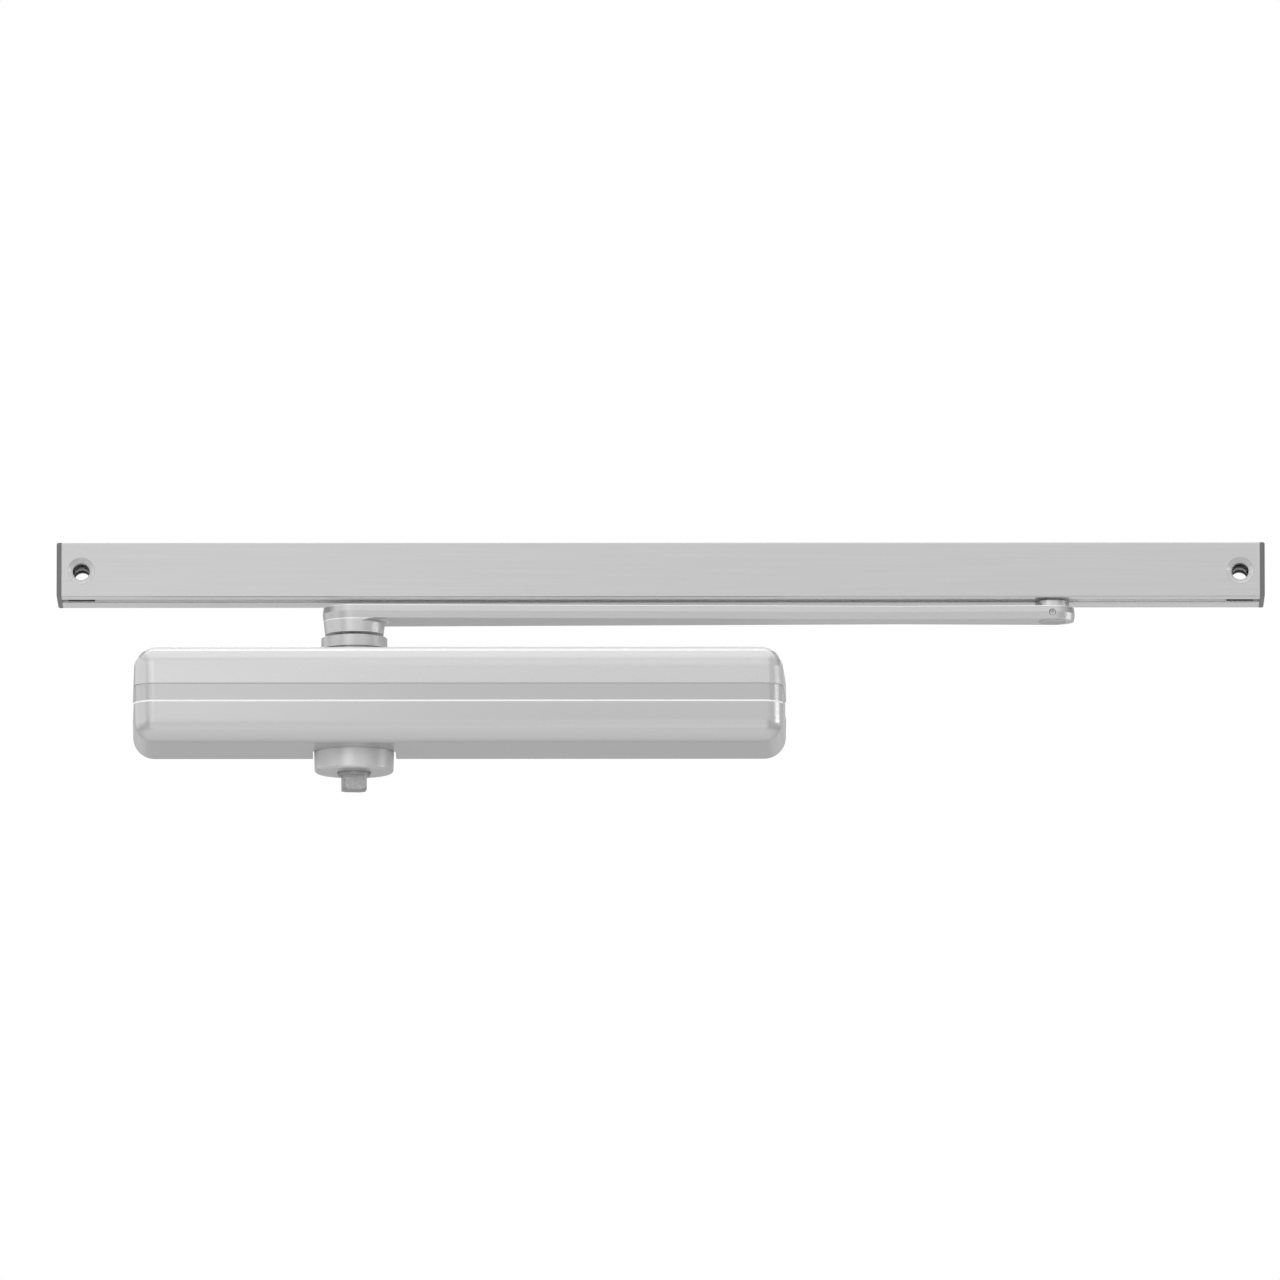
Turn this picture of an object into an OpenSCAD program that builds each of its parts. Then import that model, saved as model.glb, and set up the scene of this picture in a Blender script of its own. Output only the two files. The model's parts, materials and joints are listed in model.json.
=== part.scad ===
// Surface-mounted door closer with a one-piece slide arm and a track rail.
// Frame: origin at the centre of the body's screw pattern on the door face,
// +X along the cover, +Y into the door, +Z up.  "Depth" is the distance out
// from the door face, so a point at depth d lies at y = -d.

/* [Cover] */
// Length of the cover along its open back edge
cover_length = 301.2; // [296:0.2:306]
// Height of the cover
cover_height = 44.5; // [44:0.5:48]
// Distance from the door face to the cover's front
cover_projection = 61; // [60:0.5:66]
// How much narrower each end is at the front than at the back
cover_end_draft = 1.4; // [0.5:0.1:2]
// Radius of the outer edges and corners
cover_edge_r = 10; // [8:0.5:12]
// How far each half of the front and ends leans back from the band, in degrees
cover_lean = 1.2; // [0.5:0.1:2]
// Wall thickness of the moulding
cover_wall = 2.5; // [2:0.1:2.5]
// Gap between the door face and the cover's back edge
cover_back_gap = 1.5; // [1:0.5:2]
// Width of the recessed band round the front and ends
band_width = 8.7; // [6:0.1:12]
// Depth of the recessed band
band_depth = 0.45; // [0.2:0.05:0.8]
// Width of the slots that clear the spindle bosses
boss_slot_width = 38.3; // [38:0.1:39]

/* [Body] */
// Distance of the spindle axis from the middle of the body
spindle_offset = 48.3; // [46:0.1:50]
// Depth of the spindle axis
spindle_depth = 20.5; // [20:0.1:21]
// Depth of the piston bore axis
bore_depth = 32; // [31.5:0.1:32]
// Diameter of the piston bore
bore_d = 30; // [30:0.5:30.5]
// Outer diameter of the cylinder
cylinder_d = 38.5; // [38:0.1:39]
// Length of the cylinder
cylinder_length = 208; // [206:1:210]
// Distance between the left and right mounting holes
body_hole_spacing_x = 230; // [228:1:236]
// Distance between the upper and lower mounting holes
body_hole_spacing_z = 19; // [18:0.5:20]
// Diameter of the mounting holes
body_hole_d = 6.6; // [6:0.1:7]

/* [Spindle and rack] */
// Number of pinion teeth
pinion_teeth = 12; // [12:1:12]
// Module of the pinion and rack
gear_module = 1.5; // [1.5:0.1:1.5]
// Pressure angle of the teeth
pressure_angle = 25; // [24:1:26]
// Gap between meshing teeth on the pitch line
backlash = 0.15; // [0.1:0.05:0.25]
// How far the spindle turns as the door opens, in degrees
spindle_swing = 150; // [120:5:150]
// Width across the flats of the spindle's square ends
square_width = 11.1; // [10:0.1:11.2]
// Angle of the squares while the door is closed
square_angle = 5.5; // [0:0.5:10]
// Diameter of the spindle's journals
journal_d = 15; // [14.8:0.1:15.2]

/* [Arm] */
// Length of the arm between its axes
arm_length = 321.4; // [300:0.2:330]
// Height of the arm's upper face above the body's middle
arm_top_z = 44.8; // [44.4:0.1:45]
// Thickness of the arm's bar
arm_thickness = 6.1; // [5.5:0.1:6.5]
// Radius of the hub at the forging line
hub_r = 14.6; // [14:0.1:15]
// Half width of the bar at its waist
arm_waist_r = 8.3; // [7.5:0.1:10]
// Distance of the waist from the spindle
arm_waist_x = 252; // [230:1:270]
// Radius of the arm's slider end
arm_end_r = 10.4; // [9.5:0.1:11]

/* [Track] */
// Length of the track over its end caps
track_length = 556; // [550:1:560]
// Distance of the track's middle from the body's middle
track_centre_x = 92.8; // [90:0.1:95]
// Height of the track's section
track_height = 25.4; // [25:0.1:26]
// Depth of the track's section
track_depth = 32.4; // [32:0.1:33]
// Height of the track's lower face above the body's middle
track_bottom_z = 48.4; // [48.2:0.1:49]
// Width of the slot along the track's lower face
slot_width = 9.1; // [8.8:0.1:9.4]
// Width of the channel that guides the slider
channel_width = 18.4; // [18:0.1:18.6]
// Distance between the track's two screw holes
track_hole_spacing = 533.4; // [530:0.2:536]
// Height of the screw holes above the track's lower face
track_hole_z = 12.3; // [12:0.1:13]
// Diameter of the track's screw holes
track_hole_d = 7.8; // [7:0.1:8]

/* [Hidden] */
$fn = 48;

silver = [0.78, 0.78, 0.77];
cast_grey = [0.66, 0.67, 0.68];
steel = [0.62, 0.62, 0.61];
dark_plastic = [0.45, 0.45, 0.45];
black_rubber = [0.08, 0.08, 0.08];
brass = [0.75, 0.62, 0.32];
white_nylon = [0.88, 0.87, 0.82];

eps = 0.01;
far = 400;
fine = 64;
fit = 0.05;
seal_fit = 0.03;
gap = 0.3;

spindle_x = -spindle_offset;
spindle_y = -spindle_depth;
bore_y = -bore_depth;
bore_r = bore_d / 2;
journal_r = journal_d / 2;

// Ribs in the cover
rib_x = 111;
rib_thickness = 1.6;
rib_height = 2.6;

// Casting
cylinder_r = cylinder_d / 2;
cylinder_end = cylinder_length / 2;
pedestal_half = 13;
base_half = 17;
base_thickness = 8;
base_end = body_hole_spacing_x / 2 + 10.5;
catch_depth = 3;
catch_undercut = 2.5;
web_thickness = 4;
web_places = [-96, -76, -14, 16, 50, 90];
pocket_depth = 9;
pocket_half = 8.5;
pockets = [[-92, -72], [-22, 6], [12, 44], [50, 92]];
boss_r = 17;
boss_top = 21;
boss_bottom = -19.6;
chamber_r = 11;
gland_thread_r = 12.5;
gland_thread_length = 3.5;
cap_thread_r = 14.5;
cap_thread_length = 5;
plug_length = 11.5;
plug_r = 16.5;
gallery_y = -46;
gallery_z = -12.5;
gallery_r = 6.3;
valve_z = -13.2;
valve_boss_r = 6.2;
valve_boss_depth = 53.4;
valve_bore_r = 3.55;
valve_seat_depth = 41.5;
latch_valve_x = -80;
closing_valve_x = -18;
backcheck_valve_x = 34;

// Gear pair
pitch_r = gear_module * pinion_teeth / 2;
tip_r = pitch_r + gear_module;
root_r = pitch_r - 1.25 * gear_module;
base_r = pitch_r * cos(pressure_angle);
pinion_half = 10;
rack_pitch = PI * gear_module;
piston_travel = pitch_r * spindle_swing * PI / 180;
window_clear = 1.2;
window_left = spindle_x - tip_r - piston_travel - window_clear;
window_right = spindle_x + tip_r + window_clear;
piston_r = bore_r - fit;
piston_left = -92;
piston_right = window_right + 10;
piston_seal_x = piston_right - 5;
piston_seal_width = 2.4;
piston_seal_depth = 1.5;
check_y = bore_y - 8;
ball_r = 2.5;
check_pocket = 6.4;
retainer_thickness = 1.2;

// Spring and its adjuster
seat_left = 62;
seat_thickness = 8;
spigot_r = 8;
spigot_length = 4;
adjuster_r = 3.95;
adjuster_collar_r = 7;
plug_face = cylinder_end - plug_length;
wire_r = 2.3;
coil_r = 12;
coil_turns = 11;
closed_pitch = 2 * wire_r + 0.1;
steps_per_turn = 20;
wire_sides = 8;

// Spindle ends, gland and cap
lower_end_z = -39.8;
lower_shoulder_z = -33.3;
shoulder_bevel = 0.5;
cap_bottom_z = -31.6;
cap_r = 18.5;
cap_top_z = boss_bottom;
cap_hole_r = 7.7;
collar_r = 15.2;
collar_bottom = 25.8;
collar_top = 31;
gland_neck_r = 13.4;
upper_shoulder_z = 31.8;
square_corner_r = 7.1;
bearing_length = 7.2;
seal_height = 4;
seal_r = 10.5;

// Arm
arm_bottom_z = arm_top_z - arm_thickness;
parting_z = arm_top_z - 2.9;
arm_draft = 0.45;
hub_bottom_z = 32.6;
hub_bottom_r = 13.5;
hub_fillet = 2.5;
arm_screw_head_r = 8.2;
arm_screw_head = 2.2;
arm_screw_r = 3;
stud_x = spindle_x + arm_length;
stud_r = 4;
stud_head_r = 6.2;
stud_head = 0.6;
washer_r = 7.8;
washer_thickness = 3.1;
set_screw_r = 1.2;
set_screw_mouth_r = 1.75;

// Track section and slider
cap_plate = 2.3;
rail_left = track_centre_x - track_length / 2 + cap_plate;
rail_right = track_centre_x + track_length / 2 - cap_plate;
track_top_z = track_bottom_z + track_height;
lip = 2.2;
wall = 2.2;
ledge_z = track_bottom_z + 14.9;
ledge = 2;
ledge_reach = 4;
channel_front = spindle_depth + channel_width / 2;
channel_back = spindle_depth - channel_width / 2;
slot_front = spindle_depth + slot_width / 2;
slot_back = spindle_depth - slot_width / 2;
track_screw_z = track_bottom_z + track_hole_z;
countersink_r = 6.2;
slider_length = 40;
slider_bottom = track_bottom_z + lip + gap;
slider_top = ledge_z - gap;
slot_bevel = 0.6;
insert_length = 15;
tongue_nose = 5;
tongue_recess = 0.6;

// ---- shared shapes ----

// A solid of revolution about X; the profile's points are [x, radius].
module turned_x(profile, y, z) {
    translate([0, y, z])
        rotate([90, 0, 90])
            rotate_extrude($fn = fine)
                polygon([for (p = profile) [p[1], p[0]]]);
}

// A solid of revolution about a line along Z; the points are [radius, z].
module turned_z(profile, x, y) {
    translate([x, y, 0])
        rotate_extrude($fn = fine)
            polygon(profile);
}

// A cylinder along X between two places.
module bar_x(x0, x1, r, y, z) {
    translate([x0, y, z])
        rotate([0, 90, 0])
            cylinder(h = x1 - x0, r = r, $fn = fine);
}

// A cylinder along Y between two depths.
module bar_y(depth0, depth1, r, x, z) {
    translate([x, -depth0, z])
        rotate([90, 0, 0])
            cylinder(h = depth1 - depth0, r = r, $fn = fine);
}

// A block given by its two ends in x, depth and z.
module block(x0, x1, depth0, depth1, z0, z1) {
    translate([x0, -depth1, z0])
        cube([x1 - x0, depth1 - depth0, z1 - z0]);
}

// A flat profile in depth and height, drawn out along X.
module drawn_x(x0, x1) {
    translate([x0, 0, 0])
        rotate([90, 0, 90])
            linear_extrude(x1 - x0)
                mirror([1, 0])
                    children();
}

// An O-ring about a line along X.
module o_ring_x(x, mean_r, wire, y, z) {
    translate([x, y, z])
        rotate([0, 90, 0])
            rotate_extrude($fn = fine)
                translate([mean_r, 0])
                    circle(r = wire, $fn = 24);
}

// The square of the spindle's ends with its corners turned down.
module spindle_square(z0, z1, clearance) {
    translate([spindle_x, spindle_y, z0])
        rotate([0, 0, square_angle])
            intersection() {
                translate([-square_width / 2 - clearance, -square_width / 2 - clearance, 0])
                    cube([square_width + 2 * clearance, square_width + 2 * clearance, z1 - z0]);
                cylinder(h = z1 - z0, r = square_corner_r + clearance, $fn = fine);
            }
}

// ---- cover ----

// How far the band's edges stand out from the start of the rounded edges.
band_half = band_width / 2;
corner_z = cover_height / 2 - cover_edge_r;
crown = cover_edge_r / cos(cover_lean) - cover_edge_r + (corner_z - band_half) * tan(cover_lean);
crown_r = cover_edge_r + crown;
corner_depth = cover_projection - crown_r;
corner_x = cover_length / 2 - cover_end_draft - crown_r;
back_x = cover_length / 2 - crown_r;

// One level of the cover seen from above: its back corners and the two arcs
// at its front, for an edge radius r at height z.
function cover_ring(r, z, back_depth, step) = concat(
    [[back_x + r, -back_depth, z]],
    [for (a = [0:-step:-90]) [corner_x + r * cos(a), r * sin(a) - corner_depth, z]],
    [for (a = [-90:-step:-180]) [r * cos(a) - corner_x, r * sin(a) - corner_depth, z]],
    [[-back_x - r, -back_depth, z]]);

// Angles round the lower (-1) or upper (1) edge, up to the leaning face.
function edge_angles(side, step) = side < 0
    ? concat([for (a = [-90:step:-step]) a], [-cover_lean])
    : concat([cover_lean], [for (a = [step:step:90]) a]);

// Levels of the rounding along that edge, as [r, z].
function edge_levels(side, edge_r, step) = [for (a = edge_angles(side, step))
    [max(edge_r * cos(a), 0.2), side * corner_z + edge_r * sin(a)]];

// Levels of the recessed band, over a rounded lip and under a plain bevel.
lip_turn = 60;
lip_r = band_depth / (1 - cos(lip_turn));
band_levels = concat(
    [for (a = [0:15:lip_turn]) [crown_r - lip_r * (1 - cos(a)), lip_r * sin(a) - band_half]],
    [[crown_r - band_depth, band_half - band_depth], [crown_r, band_half]]);

// A solid block lofted through levels; its back is flat.
module cover_loft(levels, back_depth, step) {
    rings = [for (level = levels) cover_ring(level[0], level[1], back_depth, step)];
    count = len(rings[0]);
    top = len(rings) - 1;
    walls = [for (i = [0:top - 1], k = [0:count - 1])
        let (a = i * count, b = a + count, next = (k + 1) % count)
            [a + k, a + next, b + next, b + k]];
    lower_face = [for (k = [count - 1:-1:0]) k];
    upper_face = [for (k = [0:count - 1]) top * count + k];
    polyhedron([for (ring = rings) each ring], concat(walls, [lower_face, upper_face]), convexity = 4);
}

// A U-shaped slot through one long wall, open to the door.
module boss_slot(z0, z1) {
    translate([spindle_x, spindle_y, z0])
        cylinder(h = z1 - z0, r = boss_slot_width / 2, $fn = fine);
    block(spindle_x - boss_slot_width / 2, spindle_x + boss_slot_width / 2, -1, spindle_depth, z0, z1);
}

// A springy finger inside each end that snaps behind the casting's foot.
module cover_finger(side) {
    foot = base_end + gap;
    barb = base_end - catch_undercut + gap;
    mirror([side < 0 ? 1 : 0, 0, 0]) {
        block(foot, foot + 2.4, cover_back_gap, cover_projection - 2, -7, 7);
        drawn_catch(barb, foot + eps);
    }
}

// Ribs round the inside of the moulding near one end, clear of the cylinder.
module cover_ribs(x) {
    inner_z = cover_height / 2 - cover_wall;
    inner_front = cover_projection - crown - cover_wall;
    half = rib_thickness / 2;
    block(x - half, x + half, inner_front - rib_height, inner_front + 1, -corner_z, corner_z);
    for (side = [0, 1])
        mirror([0, 0, side])
            block(x - half, x + half, base_thickness + 4, corner_depth,
                inner_z - rib_height, inner_z + 1);
}

// The barb on a cover finger, a wedge that points at the casting.
module drawn_catch(tip, root) {
    translate([0, 0, -7])
        linear_extrude(14)
            polygon([[root, -0.8], [root, -catch_depth + 0.3], [tip, -catch_depth + 0.3]]);
}

module cover() {
    half = cover_height / 2;
    slot_start = corner_z + 2;
    inner_r = cover_edge_r - cover_wall;
    color(silver) {
        difference() {
            cover_loft(concat(edge_levels(-1, cover_edge_r, 7.5), band_levels,
                edge_levels(1, cover_edge_r, 7.5)), cover_back_gap, 7.5);
            cover_loft(concat(edge_levels(-1, inner_r, 15), edge_levels(1, inner_r, 15)), -1, 15);
            boss_slot(slot_start, half + 1);
            boss_slot(-half - 1, -slot_start);
        }
        cover_finger(-1);
        cover_finger(1);
        cover_ribs(-rib_x);
        cover_ribs(rib_x);
    }
}

// ---- body casting ----

module body_foot() {
    hole_x = body_hole_spacing_x / 2;
    block(-base_end + catch_undercut, base_end - catch_undercut, 0, base_thickness,
        -base_half + 2, base_half - 2);
    block(-base_end, base_end, catch_depth, base_thickness, -base_half + 2, base_half - 2);
    block(-hole_x + 8, hole_x - 8, 0, base_thickness, -base_half, base_half);
}

// Webs that brace the cylinder against the foot.
module casting_webs() {
    for (x = web_places)
        block(x - web_thickness / 2, x + web_thickness / 2, base_thickness - 1, bore_depth,
            1 - base_half, base_half - 1);
}

// A round boss that carries one regulating valve, standing on the gallery.
module valve_boss(x) {
    bar_y(bore_depth + 2, valve_boss_depth, valve_boss_r, x, valve_z);
}

// The drilled and seated hole of one regulating valve.
module valve_hole(x) {
    bar_y(valve_seat_depth, valve_boss_depth + 1, valve_bore_r, x, valve_z);
}

module body_casting() {
    hole_x = body_hole_spacing_x / 2;
    hole_z = body_hole_spacing_z / 2;
    valves = [latch_valve_x, closing_valve_x, backcheck_valve_x];
    color(cast_grey)
        difference() {
            union() {
                bar_x(-cylinder_end, cylinder_end, cylinder_r, bore_y, 0);
                block(-cylinder_end, cylinder_end, 0, bore_depth, -pedestal_half, pedestal_half);
                body_foot();
                casting_webs();
                translate([spindle_x, spindle_y, boss_bottom])
                    cylinder(h = boss_top - boss_bottom, r = boss_r, $fn = fine);
                translate([spindle_x, spindle_y, boss_bottom - cap_thread_length])
                    cylinder(h = cap_thread_length + 1, r = cap_thread_r, $fn = fine);
                bar_x(latch_valve_x - 9, backcheck_valve_x + 9, gallery_r, gallery_y, gallery_z);
                for (x = valves)
                    valve_boss(x);
            }
            // piston bore and the larger bores of the end plugs
            bar_x(-cylinder_end - 1, cylinder_end + 1, bore_r, bore_y, 0);
            bar_x(-cylinder_end - 1, -plug_face, plug_r, bore_y, 0);
            bar_x(plug_face, cylinder_end + 1, plug_r, bore_y, 0);
            // pinion chamber, gland thread
            translate([spindle_x, spindle_y, boss_bottom - cap_thread_length - 1])
                cylinder(h = boss_top - boss_bottom + cap_thread_length + 2, r = chamber_r, $fn = fine);
            translate([spindle_x, spindle_y, boss_top - gland_thread_length])
                cylinder(h = gland_thread_length + 1, r = gland_thread_r, $fn = fine);
            // oil gallery and valve holes
            bar_x(latch_valve_x, backcheck_valve_x + 10, 1.5, gallery_y, gallery_z);
            for (x = valves)
                valve_hole(x);
            for (sx = [-1, 1], sz = [-1, 1])
                bar_y(-1, base_thickness + 1, body_hole_d / 2, sx * hole_x, sz * hole_z);
            // hollows in the back, which spare metal behind the bore
            for (p = pockets)
                block(p[0], p[1], -1, pocket_depth, -pocket_half, pocket_half);
        }
}

// ---- end plugs and their seals ----

// Half profile of a plug, from its inner face outwards, with an O-ring groove.
function plug_profile(inner, outer, side, bore) = [
    [inner, bore], [outer, bore], [outer, plug_r], [inner + side * 6, plug_r],
    [inner + side * 6, plug_r - 1.6], [inner + side * 3.6, plug_r - 1.6],
    [inner + side * 3.6, plug_r], [inner, plug_r]];

module left_end_plug() {
    color(steel)
        difference() {
            turned_x(plug_profile(-plug_face, -cylinder_end, -1, 0), bore_y, 0);
            for (sz = [-1, 1])
                bar_x(-cylinder_end - 1, -cylinder_end + 5, 2, bore_y, sz * 9);
        }
}

module right_end_plug() {
    color(steel)
        difference() {
            turned_x(plug_profile(plug_face, cylinder_end, 1, adjuster_r + fit), bore_y, 0);
            bar_x(plug_face - 1, plug_face + 3, adjuster_r + 2, bore_y, 0);
            for (sz = [-1, 1])
                bar_x(cylinder_end - 5, cylinder_end + 1, 2, bore_y, sz * 10);
        }
}

module end_plug_seals() {
    color(black_rubber)
        for (side = [-1, 1])
            o_ring_x(side * (plug_face + 4.8), plug_r - 0.8, 0.78, bore_y, 0);
}

module adjusting_screw_seal() {
    color(black_rubber)
        o_ring_x(plug_face + 1.2, adjuster_r + seal_fit + 0.95, 0.95, bore_y, 0);
}

// ---- bearings, seals, gland and cap of the spindle ----

module bearing(z0) {
    color(steel)
        turned_z([[journal_r + fit, z0], [chamber_r, z0], [chamber_r, z0 + bearing_length],
            [journal_r + fit, z0 + bearing_length]], spindle_x, spindle_y);
}

module upper_bearing() bearing(pinion_half + gap);

module lower_bearing() bearing(-pinion_half - gap - bearing_length);

upper_seal_z = collar_top - 2 - seal_height;
lower_seal_z = boss_bottom - cap_thread_length - seal_height;

module shaft_seals() {
    color(black_rubber)
        for (z0 = [upper_seal_z, lower_seal_z])
            turned_z([[journal_r + seal_fit, z0], [seal_r, z0], [seal_r, z0 + seal_height],
                [journal_r + seal_fit, z0 + seal_height]], spindle_x, spindle_y);
}

module upper_gland_nut() {
    thread_z = boss_top - gland_thread_length;
    chamfer = 0.3;
    color(silver)
        turned_z([[seal_r, thread_z], [gland_thread_r, thread_z], [gland_thread_r, boss_top],
            [gland_neck_r, boss_top], [gland_neck_r, collar_bottom], [collar_r, collar_bottom],
            [collar_r, collar_top - chamfer], [collar_r - chamfer, collar_top],
            [journal_r + 0.1, collar_top], [journal_r + 0.1, collar_top - 2],
            [seal_r, collar_top - 2]], spindle_x, spindle_y);
}

module lower_bearing_cap() {
    thread_z = boss_bottom - cap_thread_length;
    edge = 1.4;
    taper = 0.35;
    rounding = [for (a = [0:15:90])
        [cap_r - taper - edge + edge * sin(a), cap_bottom_z + edge - edge * cos(a)]];
    color(silver)
        turned_z(concat([[cap_thread_r, cap_top_z], [cap_thread_r, thread_z], [seal_r, thread_z],
            [seal_r, lower_seal_z], [cap_hole_r, lower_seal_z], [cap_hole_r, cap_bottom_z + 0.4],
            [cap_hole_r + 0.4, cap_bottom_z]], rounding, [[cap_r, cap_top_z]]), spindle_x, spindle_y);
}

// ---- regulating valves ----

// A needle valve screw with a seal groove and a screwdriver slot.
module needle_valve(x) {
    stem_r = valve_bore_r - fit;
    face = valve_boss_depth - 0.4;
    color(brass)
        translate([x, 0, valve_z])
            rotate([90, 0, 0])
                difference() {
                    rotate_extrude($fn = fine)
                        polygon([[0, valve_seat_depth + 0.3], [0.8, valve_seat_depth + 0.3],
                            [stem_r, valve_seat_depth + 4], [stem_r, face - 4.6],
                            [stem_r - 1, face - 4.6], [stem_r - 1, face - 3.2],
                            [stem_r, face - 3.2], [stem_r, face], [0, face]]);
                    translate([-5, -0.5, face - 1.2])
                        cube([10, 1, 3]);
                }
}

module valve_seal(x) {
    face = valve_boss_depth - 0.4;
    color(black_rubber)
        translate([x, 0, valve_z])
            rotate([90, 0, 0])
                translate([0, 0, face - 3.9])
                    rotate_extrude($fn = fine)
                        translate([valve_bore_r - seal_fit - 0.48, 0])
                            circle(r = 0.48, $fn = 24);
}

module closing_speed_valve() needle_valve(closing_valve_x);
module closing_valve_seal() valve_seal(closing_valve_x);
module latch_speed_valve() needle_valve(latch_valve_x);
module latch_valve_seal() valve_seal(latch_valve_x);
module backcheck_valve() needle_valve(backcheck_valve_x);
module backcheck_valve_seal() valve_seal(backcheck_valve_x);

// ---- spring and adjuster ----

module spring_adjusting_screw() {
    collar_face = plug_face - fit;
    color(steel)
        difference() {
            turned_x([[seat_left - 2, 0], [cylinder_end, 0], [cylinder_end, adjuster_r],
                [collar_face, adjuster_r], [collar_face, adjuster_collar_r],
                [collar_face - 3, adjuster_collar_r], [collar_face - 3, adjuster_r],
                [seat_left - 2, adjuster_r]], bore_y, 0);
            translate([cylinder_end - 4, bore_y, 0])
                rotate([0, 90, 0])
                    cylinder(h = 5, r = 2.9, $fn = 6);
        }
}

module spring_seat() {
    rim = bore_r - gap;
    thread = adjuster_r + fit;
    spigot_end = seat_left - spigot_length;
    color(steel)
        turned_x([[spigot_end, thread], [seat_left + seat_thickness, thread],
            [seat_left + seat_thickness, rim], [seat_left, rim], [seat_left, spigot_r],
            [spigot_end, spigot_r]], bore_y, 0);
}

// Where the wire's middle is after t turns, measured along the spring.
spring_start = piston_right + gap + wire_r;
spring_end = seat_left - gap - wire_r;
active_pitch = (spring_end - spring_start - 2 * closed_pitch) / (coil_turns - 2);
function spring_x(t) = t < 1 ? t * closed_pitch
    : t > coil_turns - 1 ? spring_end - spring_start - (coil_turns - t) * closed_pitch
    : closed_pitch + (t - 1) * active_pitch;

function wire_ring(t) = [for (k = [0:wire_sides - 1])
    let (a = 360 * k / wire_sides, r = coil_r + wire_r * cos(a))
        [spring_start + spring_x(t) + wire_r * sin(a), bore_y + r * cos(360 * t), r * sin(360 * t)]];

module closing_spring() {
    rings = coil_turns * steps_per_turn;
    points = [for (i = [0:rings]) each wire_ring(i / steps_per_turn)];
    walls = [for (i = [0:rings - 1], k = [0:wire_sides - 1])
        let (a = i * wire_sides, next = (k + 1) % wire_sides, b = a + wire_sides)
            [a + k, b + k, b + next, a + next]];
    first = [for (k = [0:wire_sides - 1]) k];
    last = [for (k = [wire_sides - 1:-1:0]) rings * wire_sides + k];
    color(steel)
        polyhedron(points, concat(walls, [first, last]), convexity = 10);
}

// ---- piston ----

// Outline of the rack: a strip behind the root line whose teeth point back at
// the pinion.
module rack_strip() {
    slope = tan(pressure_angle);
    half_pitch_line = rack_pitch / 4 - backlash / 2;
    tip = half_pitch_line - gear_module * slope;
    depth = 1.25 * gear_module;
    foot = half_pitch_line + depth * slope;
    pitch_y = spindle_y - pitch_r;
    root_y = pitch_y - depth;
    teeth = [for (i = [-7:1])
        let (x = spindle_x + (i + 0.5) * rack_pitch)
            each [[x - foot, root_y], [x - tip, pitch_y + gear_module],
                [x + tip, pitch_y + gear_module], [x + foot, root_y]]];
    polygon(concat([[window_left - 1, root_y - 2], [window_left - 1, root_y]], teeth,
        [[window_right + 1, root_y], [window_right + 1, root_y - 2]]));
}

module piston() {
    window_depth = spindle_depth + chamber_r + gap;
    groove_right = piston_seal_x + piston_seal_width;
    color(steel) {
        difference() {
            turned_x([[piston_left, 0], [piston_right + spigot_length, 0],
                [piston_right + spigot_length, spigot_r], [piston_right, spigot_r],
                [piston_right, piston_r], [groove_right, piston_r],
                [groove_right, piston_r - piston_seal_depth],
                [piston_seal_x, piston_r - piston_seal_depth], [piston_seal_x, piston_r],
                [piston_left, piston_r]], bore_y, 0);
            block(window_left, window_right, 0, window_depth, -far, far);
            bar_x(piston_left - 1, piston_left + check_pocket, ball_r + fit, check_y, 0);
            bar_x(piston_left, window_left + 1, 1.3, check_y, 0);
        }
        intersection() {
            bar_x(window_left - 1, window_right + 1, piston_r, bore_y, 0);
            translate([0, 0, -pinion_half])
                linear_extrude(2 * pinion_half)
                    rack_strip();
        }
    }
}

module piston_seal() {
    inner = piston_r - piston_seal_depth;
    outer = bore_r - seal_fit;
    color(black_rubber)
        turned_x([[piston_seal_x, inner], [piston_seal_x + piston_seal_width, inner],
            [piston_seal_x + piston_seal_width, outer], [piston_seal_x, outer]], bore_y, 0);
}

module check_ball() {
    color(steel)
        translate([piston_left + check_pocket - ball_r - 0.2, check_y, 0])
            sphere(r = ball_r, $fn = fine);
}

module check_retainer() {
    color(brass)
        turned_x([[piston_left, 1.3], [piston_left + retainer_thickness, 1.3],
            [piston_left + retainer_thickness, ball_r + fit], [piston_left, ball_r + fit]], check_y, 0);
}

// ---- spindle with its pinion ----

function involute(r) = r <= base_r ? 0
    : sqrt(pow(r / base_r, 2) - 1) * 180 / PI - acos(base_r / r);
// Half the angle that a tooth fills at a radius.
function tooth_angle(r) = 90 / pinion_teeth + involute(pitch_r) - involute(r);
function on_circle(r, a) = [r * cos(a), r * sin(a)];

flank_steps = 6;
flank = concat([root_r], [for (i = [0:flank_steps]) base_r + (tip_r - base_r) * i / flank_steps]);

module pinion_outline() {
    count = len(flank);
    polygon([for (tooth = [0:pinion_teeth - 1])
        let (middle = -90 + tooth * 360 / pinion_teeth)
            each concat(
                [for (i = [0:count - 1]) on_circle(flank[i], middle - tooth_angle(flank[i]))],
                [for (i = [count - 1:-1:0]) on_circle(flank[i], middle + tooth_angle(flank[i]))])]);
}

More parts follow.
